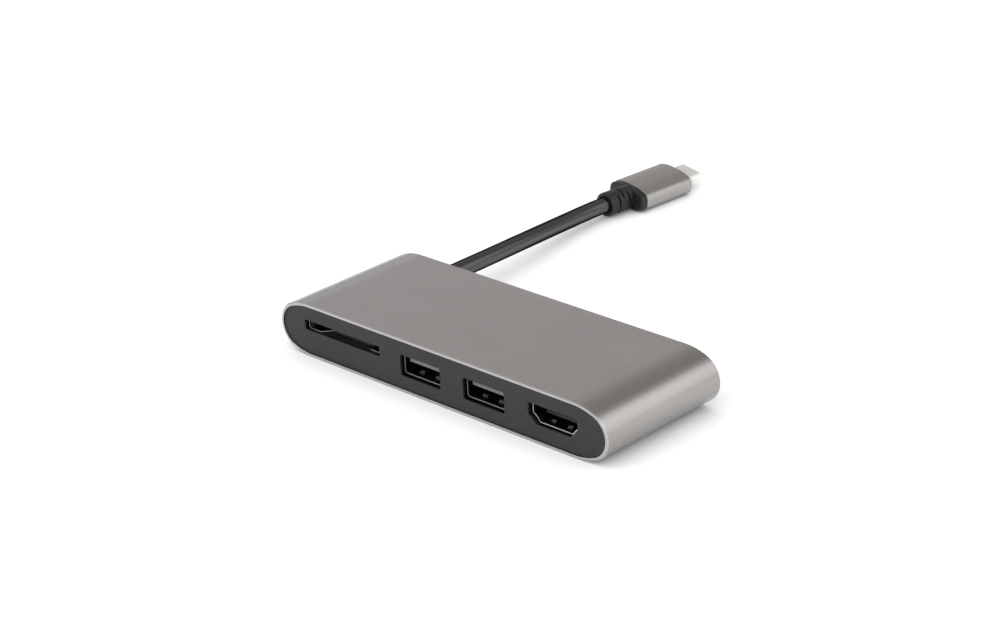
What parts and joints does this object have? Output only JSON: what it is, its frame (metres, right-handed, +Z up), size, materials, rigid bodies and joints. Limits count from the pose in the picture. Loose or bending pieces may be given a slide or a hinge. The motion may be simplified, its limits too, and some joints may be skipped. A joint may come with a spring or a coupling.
{
  "type": "usb hub",
  "caption": "Slim aluminium USB hub with card slot, USB-A and HDMI sockets in a recessed front panel and a short fixed cable ending in a USB-C plug.",
  "frame": {"origin": "centre of the sleeve's underside, on the surface that the hub stands on", "axes": "+X along the width to the right seen from the ports, +Y from the ports to the cable, +Z up"},
  "size_m": [0.11, 0.1513, 0.0146],
  "materials": {
    "anodised_aluminium": "fine brushed, warm grey anodised",
    "panel_plastic": "charcoal, fine matte",
    "tray_plastic": "black moulding",
    "circuit_board": "solder mask over glass fibre board",
    "zinc_plate": "bright zinc plated steel",
    "nickel_plate": "satin nickel plated steel",
    "gold_plate": "gold plated copper alloy",
    "usb_tongue_plastic": "mid grey nylon",
    "black_nylon": "black connector moulding",
    "chip_epoxy": "moulded epoxy package",
    "ferrite": "moulded ferrite",
    "capacitor_body": "tan fired ceramic with plated ends",
    "silicone_pad": "soft grey blue silicone",
    "black_rubber": "black thermoplastic elastomer",
    "wire_insulation": "coloured core insulation"
  },
  "bodies": {
    "root": {"aluminium_sleeve": "anodised_aluminium", "front_bezel": "panel_plastic", "rear_cover": "panel_plastic", "inner_tray": "tray_plastic", "main_board": "circuit_board", "board_screws": "zinc_plate", "usb_a_1_shell": "nickel_plate", "usb_a_1_insulator": "usb_tongue_plastic", "usb_a_1_contacts": "gold_plate", "usb_a_2_shell": "nickel_plate", "usb_a_2_insulator": "usb_tongue_plastic", "usb_a_2_contacts": "gold_plate", "hdmi_shell": "nickel_plate", "hdmi_insulator": "black_nylon", "hdmi_contacts": "gold_plate", "sd_cover": "nickel_plate", "sd_base": "black_nylon", "sd_contacts": "gold_plate", "hub_controller_chip": "chip_epoxy", "video_converter_chip": "chip_epoxy", "card_reader_chip": "chip_epoxy", "voltage_regulators": "chip_epoxy", "crystals": "zinc_plate", "power_inductors": "ferrite", "ceramic_capacitors": "capacitor_body", "chip_resistors": "chip_epoxy", "surge_arrays": "chip_epoxy", "thermal_pad": "silicone_pad", "cable_grommet": "black_rubber", "cable_inner_jacket": "black_rubber", "cable_wires": "wire_insulation", "cable": "black_rubber", "plug_strain_relief": "black_rubber", "plug_housing": "anodised_aluminium", "plug_front_cap": "black_nylon", "usb_c_shell": "nickel_plate", "usb_c_insulator": "black_nylon", "usb_c_contacts": "gold_plate", "plug_board": "circuit_board"}
  },
  "joints": []
}
